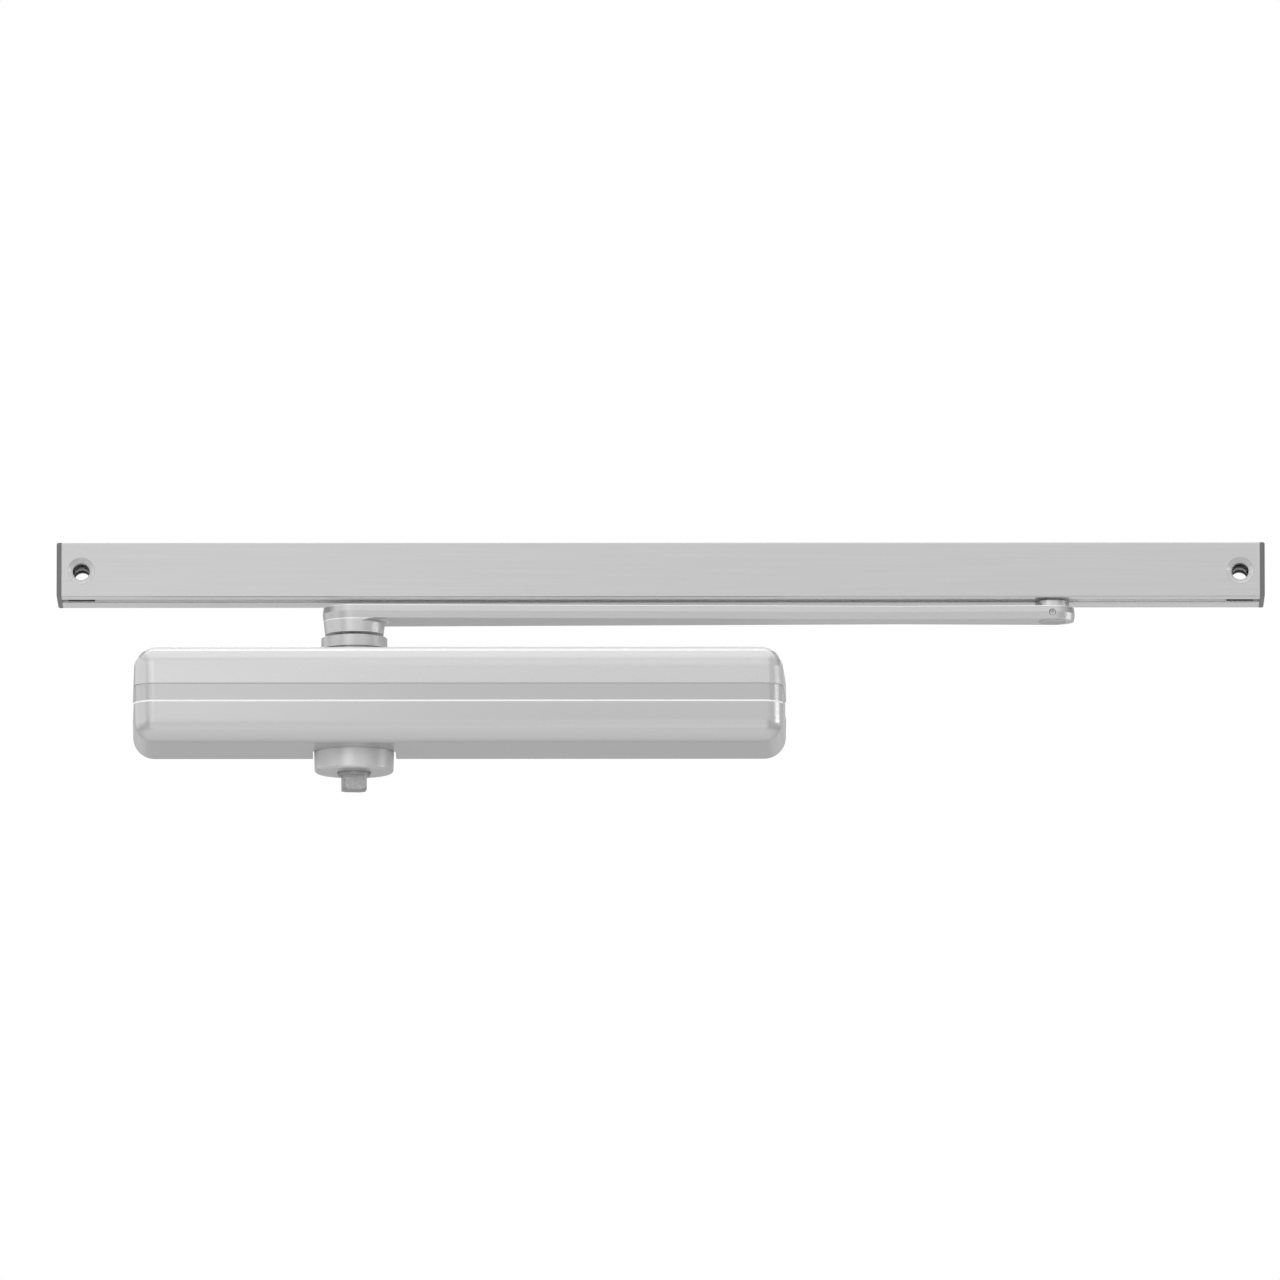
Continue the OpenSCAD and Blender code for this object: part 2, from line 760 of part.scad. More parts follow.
module spindle() {
    corner_cut = 0.8;
    color(steel)
        difference() {
            union() {
                translate([spindle_x, spindle_y, -pinion_half])
                    linear_extrude(2 * pinion_half)
                        pinion_outline();
                turned_z([[0, lower_shoulder_z], [journal_r - shoulder_bevel, lower_shoulder_z],
                    [journal_r, lower_shoulder_z + shoulder_bevel], [journal_r, upper_shoulder_z],
                    [0, upper_shoulder_z]], spindle_x, spindle_y);
                spindle_square(upper_shoulder_z - 1, arm_top_z - 2.8, 0);
                intersection() {
                    spindle_square(lower_end_z, lower_shoulder_z + 1, 0);
                    turned_z([[0, lower_end_z], [square_corner_r - corner_cut, lower_end_z],
                        [square_corner_r + 1, lower_end_z + corner_cut + 1],
                        [square_corner_r + 1, lower_shoulder_z + 1], [0, lower_shoulder_z + 1]],
                        spindle_x, spindle_y);
                }
            }
            translate([spindle_x, spindle_y, upper_shoulder_z - 3])
                cylinder(h = far, r = arm_screw_r, $fn = fine);
        }
}

// ---- arm and what it carries ----

// A stretch of the forged bar between two round ends, drafted away from the
// parting line towards z1.
module bar_stretch(x0, r0, x1, r1, z0, z1, draft) {
    low0 = z1 > z0 ? 0 : draft;
    high0 = z1 > z0 ? draft : 0;
    base = min(z0, z1);
    height = abs(z1 - z0);
    hull() {
        translate([x0, spindle_y, base])
            cylinder(h = height, r1 = r0 - low0, r2 = r0 - high0, $fn = fine);
        translate([x1, spindle_y, base])
            cylinder(h = height, r1 = r1 - low0, r2 = r1 - high0, $fn = fine);
    }
}

// The fillet that runs the bar's underside into the hub.
module hub_blend(waist) {
    root_r = hub_bottom_r + 0.3;
    intersection() {
        bar_stretch(spindle_x, root_r, waist, arm_waist_r, arm_bottom_z, arm_bottom_z - hub_fillet, 0);
        turned_z(concat([[0, arm_bottom_z - hub_fillet]],
            [for (a = [0:15:90]) [root_r + hub_fillet * (1 - cos(a)),
                arm_bottom_z - hub_fillet * (1 - sin(a))]],
            [[0, arm_bottom_z]]), spindle_x, spindle_y);
    }
}

module arm() {
    waist = spindle_x + arm_waist_x;
    color(silver)
        difference() {
            union() {
                for (face_z = [arm_top_z, arm_bottom_z]) {
                    bar_stretch(spindle_x, hub_r, waist, arm_waist_r, parting_z, face_z, arm_draft);
                    bar_stretch(waist, arm_waist_r, stud_x, arm_end_r, parting_z, face_z, arm_draft);
                }
                translate([spindle_x, spindle_y, hub_bottom_z])
                    cylinder(h = parting_z - hub_bottom_z, r1 = hub_bottom_r, r2 = hub_r, $fn = fine);
                hub_blend(waist);
            }
            spindle_square(hub_bottom_z - 1, arm_top_z, fit);
            translate([spindle_x, spindle_y, arm_top_z - arm_screw_head - 0.4])
                cylinder(h = 4, r = arm_screw_head_r + 0.3, $fn = fine);
            translate([stud_x, spindle_y, arm_bottom_z - 1])
                cylinder(h = arm_thickness + 2, r = stud_r, $fn = fine);
            bar_y(spindle_depth, far, set_screw_r, stud_x, parting_z - 0.2);
            translate([stud_x, spindle_y - arm_end_r - 0.2, parting_z - 0.2])
                rotate([-90, 0, 0])
                    cylinder(h = 0.9, r1 = set_screw_mouth_r + 0.15, r2 = set_screw_r, $fn = fine);
        }
}

module arm_screw() {
    head_z = arm_top_z - arm_screw_head - 0.4;
    color(steel)
        difference() {
            turned_z([[0, upper_shoulder_z - 2.5], [arm_screw_r, upper_shoulder_z - 2.5],
                [arm_screw_r, head_z], [arm_screw_head_r, head_z],
                [arm_screw_head_r, head_z + arm_screw_head - 0.6],
                [arm_screw_head_r - 0.6, head_z + arm_screw_head],
                [0, head_z + arm_screw_head]], spindle_x, spindle_y);
            translate([spindle_x, spindle_y, head_z + 0.4])
                cylinder(h = 4, r = 2.9, $fn = 6);
        }
}

module slider_stud() {
    bottom = arm_bottom_z - stud_head;
    bevel = 0.45;
    color(steel)
        turned_z([[0, bottom], [stud_head_r - bevel, bottom], [stud_head_r, bottom + bevel],
            [stud_head_r, arm_bottom_z], [stud_r, arm_bottom_z], [stud_r, slider_top - 1],
            [stud_r - 0.6, slider_top - 0.4], [0, slider_top - 0.4]], stud_x, spindle_y);
}

module stud_set_screw() {
    inner = spindle_depth + stud_r;
    color(steel)
        difference() {
            bar_y(inner, inner + 5, set_screw_r, stud_x, parting_z - 0.2);
            translate([stud_x, -inner - 6, parting_z - 0.2])
                rotate([-90, 0, 0])
                    cylinder(h = 2.5, r = 0.85, $fn = 6);
        }
}

module stud_washer() {
    color(steel)
        turned_z([[stud_r + fit, arm_top_z], [washer_r - 0.3, arm_top_z],
            [washer_r, arm_top_z + 0.3], [washer_r, arm_top_z + washer_thickness - 0.3],
            [washer_r - 0.3, arm_top_z + washer_thickness],
            [stud_r + fit, arm_top_z + washer_thickness]], stud_x, spindle_y);
}

module slider_block() {
    half = channel_width / 2 - gap;
    end_r = 3;
    lead = slider_length / 2;
    color(white_nylon)
        difference() {
            translate([stud_x, spindle_y, slider_bottom])
                linear_extrude(slider_top - slider_bottom)
                    polygon([for (corner = [0:3], a = [0:15:90])
                        let (sx = corner == 0 || corner == 3 ? 1 : -1, sy = corner < 2 ? 1 : -1)
                            [sx * (lead - end_r), sy * (half - end_r)]
                                + end_r * [cos(corner * 90 + a), sin(corner * 90 + a)]]);
            translate([stud_x, spindle_y, slider_bottom - 1])
                cylinder(h = far, r = stud_r + fit, $fn = fine);
        }
}

// ---- track ----

// Section of the rail in depth and height: a slider channel with two ledges
// over it, an upper space, and a closed chamber at the back.
module rail_section() {
    edge = 0.5;
    bottom = track_bottom_z;
    difference() {
        polygon([[edge, bottom], [track_depth - edge, bottom], [track_depth, bottom + edge],
            [track_depth, track_top_z - edge], [track_depth - edge, track_top_z],
            [edge, track_top_z], [0, track_top_z - edge], [0, bottom + edge]]);
        translate([channel_back, bottom + lip])
            square([channel_width, ledge_z - bottom - lip]);
        translate([channel_back + ledge_reach, bottom + lip])
            square([channel_width - 2 * ledge_reach, track_height - lip - wall]);
        translate([channel_back, ledge_z + ledge])
            square([channel_width, track_top_z - wall - ledge_z - ledge]);
        translate([wall, bottom + wall])
            square([channel_back - 2 * wall, track_height - 2 * wall]);
        polygon([[slot_back, bottom - 1], [slot_front, bottom - 1],
            [slot_front, bottom + lip - slot_bevel], [slot_front + slot_bevel, bottom + lip],
            [slot_front + slot_bevel, bottom + lip + 1], [slot_back - slot_bevel, bottom + lip + 1],
            [slot_back - slot_bevel, bottom + lip], [slot_back, bottom + lip - slot_bevel]]);
    }
}

// The two drilled and countersunk screw holes through the whole section.
module track_screw_holes(clearance) {
    for (side = [-1, 1]) {
        x = track_centre_x + side * track_hole_spacing / 2;
        bar_y(-1, track_depth + 1, track_hole_d / 2 + clearance, x, track_screw_z);
        translate([x, -track_depth - eps, track_screw_z])
            rotate([-90, 0, 0])
                cylinder(h = countersink_r - track_hole_d / 2, r1 = countersink_r,
                    r2 = track_hole_d / 2, $fn = fine);
    }
}

module track_rail() {
    color(silver)
        difference() {
            drawn_x(rail_left, rail_right)
                rail_section();
            track_screw_holes(0);
        }
}

// An end cap: a plate over the section, with a plug that runs into the slider
// channel and stops the slider, and a tongue with a slanted nose in the slot.
module track_cap(side) {
    rail_end = side < 0 ? rail_left : rail_right;
    outer = rail_end + side * cap_plate;
    inner = rail_end - side * insert_length;
    round = 0.8;
    tongue_back = slot_back + 0.2;
    tongue_front = slot_front - 0.2;
    color(dark_plastic)
        difference() {
            union() {
                rotate([90, 0, 0])
                    linear_extrude(track_depth)
                        polygon([[rail_end, track_bottom_z], [outer - side * round, track_bottom_z],
                            [outer - side * 0.3 * round, track_bottom_z + 0.3 * round],
                            [outer, track_bottom_z + round], [outer, track_top_z - round],
                            [outer - side * 0.3 * round, track_top_z - 0.3 * round],
                            [outer - side * round, track_top_z], [rail_end, track_top_z]]);
                block(min(rail_end, inner), max(rail_end, inner), channel_back + 0.1,
                    channel_front - 0.1, slider_bottom, slider_top);
                translate([0, 0, track_bottom_z + tongue_recess])
                    linear_extrude(slider_bottom + 1 - track_bottom_z - tongue_recess)
                        polygon([[rail_end, -tongue_back], [rail_end, -tongue_front],
                            [inner + side * tongue_nose, -tongue_front],
                            [inner, -(tongue_back + 1)], [inner, -tongue_back]]);
            }
            track_screw_holes(gap);
        }
}

module left_track_cap() track_cap(-1);
module right_track_cap() track_cap(1);

cover();
body_casting();
left_end_plug();
right_end_plug();
end_plug_seals();
upper_bearing();
lower_bearing();
shaft_seals();
upper_gland_nut();
lower_bearing_cap();
closing_speed_valve();
closing_valve_seal();
latch_speed_valve();
latch_valve_seal();
backcheck_valve();
backcheck_valve_seal();
spring_adjusting_screw();
adjusting_screw_seal();
spring_seat();
closing_spring();
piston();
piston_seal();
check_ball();
check_retainer();
spindle();
arm();
arm_screw();
slider_stud();
stud_set_screw();
stud_washer();
slider_block();
track_rail();
left_track_cap();
right_track_cap();
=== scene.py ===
"""Looks for the slide-track door closer: camera, studio light and a procedural
material for every CAD node. Lengths are in metres; levels are sRGB, 0 to 255."""

import json
import math

import bpy
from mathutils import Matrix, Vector


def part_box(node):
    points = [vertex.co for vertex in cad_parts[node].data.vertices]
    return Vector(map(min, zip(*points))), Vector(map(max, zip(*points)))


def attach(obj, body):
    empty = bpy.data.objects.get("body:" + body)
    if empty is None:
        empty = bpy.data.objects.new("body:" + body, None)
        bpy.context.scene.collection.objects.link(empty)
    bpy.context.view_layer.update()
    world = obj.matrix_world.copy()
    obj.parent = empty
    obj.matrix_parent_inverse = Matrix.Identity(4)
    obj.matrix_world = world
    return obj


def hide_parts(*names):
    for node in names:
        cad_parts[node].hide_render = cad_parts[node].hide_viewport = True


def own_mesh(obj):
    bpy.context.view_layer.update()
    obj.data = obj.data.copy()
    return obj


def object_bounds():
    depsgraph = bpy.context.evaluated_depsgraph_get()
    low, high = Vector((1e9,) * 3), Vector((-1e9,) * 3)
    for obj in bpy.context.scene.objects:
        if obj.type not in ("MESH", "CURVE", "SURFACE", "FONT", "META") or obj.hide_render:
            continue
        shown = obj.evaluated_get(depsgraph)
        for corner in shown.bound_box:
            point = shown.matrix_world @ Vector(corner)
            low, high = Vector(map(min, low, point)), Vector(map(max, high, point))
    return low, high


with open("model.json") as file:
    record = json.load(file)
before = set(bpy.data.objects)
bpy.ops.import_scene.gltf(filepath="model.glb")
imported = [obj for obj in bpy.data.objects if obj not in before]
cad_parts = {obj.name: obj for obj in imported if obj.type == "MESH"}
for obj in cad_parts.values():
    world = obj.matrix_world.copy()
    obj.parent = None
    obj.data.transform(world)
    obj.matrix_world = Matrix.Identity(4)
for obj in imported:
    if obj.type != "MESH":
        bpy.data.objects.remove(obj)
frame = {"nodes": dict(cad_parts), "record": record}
NODES = frame["nodes"]
CAD_LOW, CAD_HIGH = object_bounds()


# ------------------------------------------------------------------- nodes
def grey(level):
    """A linear colour from an sRGB level."""
    c = level / 255.0
    linear = c / 12.92 if c <= 0.04045 else ((c + 0.055) / 1.055) ** 2.4
    return (linear,) * 3


class Graph:
    """A node tree with short calls for the nodes used here. Every value is a number,
    a colour as a tuple, or another node's output."""

    def __init__(self, tree):
        self.nodes, self.links = tree.nodes, tree.links

    def feed(self, value, socket):
        if isinstance(value, (int, float)):
            socket.default_value = value
        elif isinstance(value, tuple):
            socket.default_value = (*value, 1.0)
        else:
            self.links.new(value, socket)

    def rays(self, *kinds):
        """For each kind of ray, 1 where such a ray meets the surface."""
        path = self.nodes.new("ShaderNodeLightPath")
        return [path.outputs[f"Is {kind} Ray"] for kind in kinds]

    def part(self, vector, axis):
        node = self.nodes.new("ShaderNodeSeparateXYZ")
        self.links.new(vector, node.inputs[0])
        return node.outputs[axis]

    def math(self, operation, *values):
        node = self.nodes.new("ShaderNodeMath")
        node.operation = operation
        for value, socket in zip(values, node.inputs):
            self.feed(value, socket)
        return node.outputs[0]

    def largest(self, value, *others):
        for other in others:
            value = self.math("MAXIMUM", value, other)
        return value

    def distance(self, across, up):
        squares = [self.math("MULTIPLY", side, side) for side in (across, up)]
        return self.math("SQRT", self.math("ADD", *squares))

    def remap(self, value, source, target, curve="LINEAR", clamp=True):
        """A value carried over from one range to another."""
        node = self.nodes.new("ShaderNodeMapRange")
        node.interpolation_type = curve
        node.clamp = clamp
        names = ("From Min", "From Max", "To Min", "To Max")
        for name, bound in zip(names, (*source, *target)):
            node.inputs[name].default_value = bound
        self.links.new(value, node.inputs["Value"])
        return node.outputs["Result"]

    def within(self, value, low, high, soft=0.0001):
        """1 between two values and 0 outside them, with soft ends."""
        inside = 1.0
        for edge, half in ((low, soft / 2), (high, -soft / 2)):
            source = (edge - half, edge + half)
            side = self.remap(value, source, (0.0, 1.0), "SMOOTHSTEP")
            inside = self.math("MULTIPLY", inside, side)
        return inside

    def blend(self, mask, below, above):
        """A colour or a number, changed to another where the mask is 1."""
        number = isinstance(above, (int, float))
        kind = "VALUE" if number else "RGBA"
        node = self.nodes.new("ShaderNodeMix")
        node.data_type = "FLOAT" if number else "RGBA"
        self.links.new(mask, node.inputs["Factor"])
        # Of the sockets of one kind, the two to mix come last.
        pair = [socket for socket in node.inputs if socket.type == kind][-2:]
        for value, socket in zip((below, above), pair):
            self.feed(value, socket)
        return next(socket for socket in node.outputs if socket.type == kind)

    def mix_shaders(self, factor, off, on, target):
        node = self.nodes.new("ShaderNodeMixShader")
        for value, socket in zip((factor, off, on), node.inputs):
            self.links.new(value, socket)
        self.links.new(node.outputs[0], target)


class Finish(Graph):
    """A new material's node tree, with its patterns laid out in the object's metres."""

    # Most of a noise's values lie in this range.
    NOISE = (0.3, 0.7)

    def __init__(self, name):
        self.mat = bpy.data.materials.new(name)
        self.mat.use_nodes = True
        super().__init__(self.mat.node_tree)
        self.bsdf = self.nodes["Principled BSDF"]
        self.coord = self.nodes.new("ShaderNodeTexCoord").outputs["Object"]

    def place(self, axis):
        return self.part(self.coord, axis)

    def noise(self, scale, detail, stretch=(1, 1, 1), roughness=0.55):
        mapping = self.nodes.new("ShaderNodeMapping")
        mapping.inputs["Scale"].default_value = stretch
        tex = self.nodes.new("ShaderNodeTexNoise")
        tex.inputs["Scale"].default_value = scale
        tex.inputs["Detail"].default_value = detail
        tex.inputs["Roughness"].default_value = roughness
        self.links.new(self.coord, mapping.inputs["Vector"])
        self.links.new(mapping.outputs["Vector"], tex.inputs["Vector"])
        return tex.outputs["Fac"]

    def vary(self, noise, low, high):
        return self.remap(noise, self.NOISE, (low, high), clamp=False)

    def tones(self, noise, dark, light):
        """A colour that varies between two levels."""
        ramp = self.nodes.new("ShaderNodeValToRGB")
        ends = zip(ramp.color_ramp.elements, self.NOISE, (dark, light))
        for element, position, level in ends:
            element.position = position
            element.color = (*grey(level), 1.0)
        self.links.new(noise, ramp.inputs["Fac"])
        return ramp.outputs["Color"]

    def bump(self, height, strength, distance, before=None):
        node = self.nodes.new("ShaderNodeBump")
        node.inputs["Strength"].default_value = strength
        node.inputs["Distance"].default_value = distance
        self.links.new(height, node.inputs["Height"])
        if before is not None:
            self.links.new(before, node.inputs["Normal"])
        return node.outputs["Normal"]

    def surface(self, colour, metallic, roughness, normal):
        """Sets what the shader takes and returns the material."""
        self.feed(colour, self.bsdf.inputs["Base Color"])
        self.feed(metallic, self.bsdf.inputs["Metallic"])
        self.feed(roughness, self.bsdf.inputs["Roughness"])
        self.feed(normal, self.bsdf.inputs["Normal"])
        return self.mat


# ------------------------------------------------------------------ camera
# A long lens from in front and a little below, as one looks up at a closer on the
# head of a door.
LENS_MM = 745.3
SENSOR_MM = 36.0
CLIP = (0.1, 400.0)
CAMERA_AT = Vector((0.1256, -12.079, -1.835))
CAMERA_TARGET = Vector((0.0833, -0.0324, 0.0284))


def add_object(name, data):
    obj = bpy.data.objects.new(name, data)
    bpy.context.scene.collection.objects.link(obj)
    return obj


def aim(obj, target):
    obj.rotation_mode = "QUATERNION"
    obj.rotation_quaternion = (target - obj.location).to_track_quat("-Z", "Y")


def make_camera():
    data = bpy.data.cameras.new("camera")
    data.sensor_width = SENSOR_MM
    data.lens = LENS_MM
    data.clip_start, data.clip_end = CLIP
    cam = add_object("camera", data)
    cam.location = CAMERA_AT
    aim(cam, CAMERA_TARGET)
    bpy.context.scene.camera = cam


# --------------------------------------------------------- studio and lamps
# Strength of the even light from all round on matt surfaces; the lamps add to it.
STUDIO = 0.52
# What gloss sees of the studio straight behind the object, where 1 is white, and the
# Y of a direction at which it starts to dim and at which it is dimmest.
BEHIND = 0.65
BEHIND_FROM_TO = (0.5, 0.95)

# Pale paper, so large and so far below that it hides the object from no low camera.
FLOOR_HALF = 120.0
FLOOR_DROP = 13.0
PAPER = (0.9, 0.9, 0.9)
PAPER_ROUGHNESS = 0.9
# How white gloss sees it at two distances from its middle.
FLOOR_FROM_TO = (8.0, 30.0)
FLOOR_WHITE = (1.0, 0.22)

# Soft boxes: name, azimuth and elevation in degrees, distance, size, watts. Azimuth 0
# is in front of the object and 90 to its right.
LAMPS = (
    ("box_over", 0.0, 79.0, 2.2, (3.4, 2.9), 17.0),
    ("box_behind", 180.0, 37.0, 2.6, (3.4, 2.2), 26.0),
    ("strip_behind", 180.0, 70.5, 2.6, (5.0, 0.3), 7.0),
    ("box_front", 0.0, 27.0, 2.6, (5.0, 1.64), 19.0),
    ("box_left", -25.0, 12.0, 2.4, (0.85, 1.9), 2.6),
    ("box_side", -92.0, 8.0, 2.2, (3.4, 2.0), 13.0),
    ("box_low", 0.0, -24.5, 2.6, (3.6, 2.3), 17.0),
    ("box_right", 93.0, 1.5, 1.9, (1.0, 0.43), 4.8),
    ("box_near", -22.0, 4.0, 0.72, (0.26, 0.16), 0.09),
)


def make_world():
    """An even studio: it lights matt surfaces at STUDIO, and the camera and gloss see
    it white, though gloss finds it dimmer straight behind the object."""
    world = bpy.data.worlds.new("studio")
    world.cycles.sampling_method = "NONE"
    bpy.context.scene.world = world
    world.use_nodes = True
    g = Graph(world.node_tree)
    g.nodes.clear()
    camera, glossy, through = g.rays("Camera", "Glossy", "Transmission")
    way = g.nodes.new("ShaderNodeTexCoord").outputs["Generated"]
    dim = g.remap(g.part(way, "Y"), BEHIND_FROM_TO, (1.0, BEHIND), "SMOOTHSTEP")
    shades = []
    for strength in (STUDIO, g.largest(camera, through, dim)):
        shade = g.nodes.new("ShaderNodeBackground")
        g.feed((1.0, 1.0, 1.0), shade.inputs["Color"])
        g.feed(strength, shade.inputs["Strength"])
        shades.append(shade.outputs[0])
    seen = g.largest(camera, glossy, through)
    out = g.nodes.new("ShaderNodeOutputWorld")
    g.mix_shaders(seen, *shades, out.inputs["Surface"])


def make_floor():
    """The camera sees the paper white. Gloss sees it white under the object, and more
    and more as it is lit farther off."""
    half, low = FLOOR_HALF, -FLOOR_DROP
    corners = [(-half, -half), (half, -half), (half, half), (-half, half)]
    mesh = bpy.data.meshes.new("floor")
    mesh.from_pydata([(x, y, low) for x, y in corners], [], [(0, 1, 2, 3)])
    floor = add_object("floor", mesh)

    g = Finish("floor_paper")
    g.feed(PAPER, g.bsdf.inputs["Base Color"])
    g.feed(PAPER_ROUGHNESS, g.bsdf.inputs["Roughness"])
    camera, glossy, through = g.rays("Camera", "Glossy", "Transmission")
    away = g.distance(g.place("X"), g.place("Y"))
    gloss = g.math("MULTIPLY", glossy, g.remap(away, FLOOR_FROM_TO, FLOOR_WHITE))
    white = g.nodes.new("ShaderNodeEmission").outputs[0]
    surface = g.nodes["Material Output"].inputs["Surface"]
    g.mix_shaders(g.largest(camera, through, gloss), g.bsdf.outputs[0], white, surface)
    mesh.materials.append(g.mat)


def area_light(name, azimuth, elevation, distance, size, watts):
    """A rectangular soft box aimed at the middle of the object."""
    data = bpy.data.lights.new(name, "AREA")
    data.shape = "RECTANGLE"
    data.size, data.size_y = size
    data.energy = watts
    lamp = add_object(name, data)
    a, e = math.radians(azimuth), math.radians(elevation)
    middle = (CAD_LOW + CAD_HIGH) / 2
    lamp.location = middle + distance * Vector(
        (math.sin(a) * math.cos(e), -math.cos(a) * math.cos(e), math.sin(e))
    )
    aim(lamp, middle)


# --------------------------------------------------------------- materials
# Zones of height on a painted piece, where its colour is painted lighter or darker as
# painted light and shade: low, high, softness of the ends, level and share of metal.
# A later zone lies over an earlier one.
COVER_LIGHT_AND_SHADE = (
    (-0.0213, -0.0172, 0.0015, 200, 0.4),  # rounding below the lower face, painted lighter: painted light
    (-0.0135, -0.0040, 0.002, 180, 0.4),  # upper part of the lower face, painted a little darker: painted shade
    (-0.00435, -0.0035, 0.0001, 238, 0.1),  # lip under the band, painted near white: a painted highlight
    (-0.0035, 0.0041, 0.0001, 172, 0.4),  # recessed band, painted darker: painted shade
    (0.0160, 0.0195, 0.002, 200, 0.4),  # rounding above the upper face, painted lighter: painted light
    (0.0196, 0.0219, 0.0008, 240, 0.1),  # upper edge, painted near white: a painted highlight
)
TRIM_PAINTED_LIGHT = ((-0.04, -0.02, 0.001, 196, 0.4),)  # lower bearing cap, painted lighter: painted light in the cover's shade
ARM_PAINTED_LIGHT = (
    (0.03, 0.0383, 0.0002, 190, 0.4),  # hub below the bar, painted lighter: painted light
    (0.0383, 0.0387, 0.0001, 232, 0.4),  # underside of the bar, painted pale: painted light in its shade
    (0.03, 0.03275, 0.0001, 250, 0.0),  # underside of the hub, painted near white: painted light in the gap's shade
    (0.0446, 0.05, 0.0002, 240, 0.4),  # top face, painted pale: painted light in the shade under the rail
)

# Bounds of a zone that has no end on one side: past the object, and the door's plane.
FAR = 1.0
DOOR = 0.0

# The rail's lower faces and channel, measured from the slider that runs in it.
UNDERSIDE_DROP = 0.0024  # slider's underside down to just above the rail's
# The rail's lower faces are painted paler: painted light in their shade.
UNDERSIDE_LIGHT_LEVEL = 230
UNDERSIDE_ROUGH = 0.14
SLOT_DROP = 0.0022  # slider's underside down to just inside the slot
WALL_REACH = 0.0006  # slider's side to just past the channel's wall
LEDGE_REACH = 0.0008  # slider's top to just past the channel's ledges
# The channel's faces are painted pale: painted light in the channel's shade.
CHANNEL_LIGHT_LEVEL = 246

# The rail's countersunk holes, from just behind its front face. Their cones are painted
# paler below and darker above: painted shade.
SINK_START = 0.0288  # behind the front of the cover
SINK_SOFT = 0.00005
SINK_R = 0.0064
SINK_SHADE = (-0.006, 0.005)  # height from the middle, palest to darkest of the painted shade
SINK_SHADE_LEVELS = (236, 196)
SINK_ROUGH = 0.31
SINK_METAL = 0.3
BORE_START = 0.0026  # behind the start of the countersink
BORE_R = 0.0041
# The bores are painted dark: painted shade.
BORE_SHADE_LEVEL = 90

# What the end caps have inside the rail, such as the tongue in the slot, is painted
# black and dull: a painted shade.
TONGUE_INSET = 0.0052  # inside a cap's outer face
TONGUE_SOFT = 0.0006
TONGUE_SHADE_LEVEL = 15
TONGUE_ROUGH = 0.95


def paint(name, level, metallic, roughness, painted_zones):
    """Sprayed metallic paint: fine flake in the colour and a slight orange peel, with
    zones of height painted lighter or darker as painted light and shade.
    """
    g = Finish(name)
    flake = g.noise(scale=2600.0, detail=2.0)
    cloud = g.noise(scale=9.0, detail=2.0)
    peel = g.noise(scale=420.0, detail=2.0)
    colour = g.tones(flake, level - 3, level + 3)
    metal = metallic
    one_metal = all(zone[-1] == metallic for zone in painted_zones)
    for low, high, soft, painted_level, zone_metal in painted_zones:
        # Each zone's level is painted light or painted shade.
        mask = g.within(g.place("Z"), low, high, soft)
        colour = g.blend(mask, colour, grey(painted_level))
        if not one_metal:
            metal = g.blend(mask, metal, zone_metal)
    rough = g.vary(cloud, roughness - 0.01, roughness + 0.01)
    grain = g.bump(flake, strength=0.08, distance=0.00005)
    skin = g.bump(peel, strength=0.06, distance=0.0002, before=grain)
    return g.surface(colour, metal, rough, skin)


def drawn(name, level, metallic, roughness, stretch):
    """Drawn or ground metal: a fine grain, which the stretch can turn into lines."""
    g = Finish(name)
    lines = g.noise(scale=900.0, detail=5.0, stretch=stretch)
    cloud = g.noise(scale=14.0, detail=2.0)
    colour = g.tones(lines, level - 4, level + 4)
    rough = g.vary(cloud, roughness - 0.04, roughness + 0.04)
    skin = g.bump(lines, strength=0.12, distance=0.0001)
    return g.surface(colour, metallic, rough, skin)


def around_holes(g):
    """The distance from the axis of the nearer of the rail's screw holes, and the
    height from it."""
    screws = next(m for m in frame["record"]["mounts"] if m["name"] == "track_screws")
    middle, _, height = screws["pos_m"]
    half = screws["dims"]["spacing_x_mm"] / 1000 / 2
    side = g.math("ABSOLUTE", g.math("SUBTRACT", g.place("X"), middle))
    across = g.math("SUBTRACT", side, half)
    up = g.math("SUBTRACT", g.place("Z"), height)
    return g.distance(across, up), up


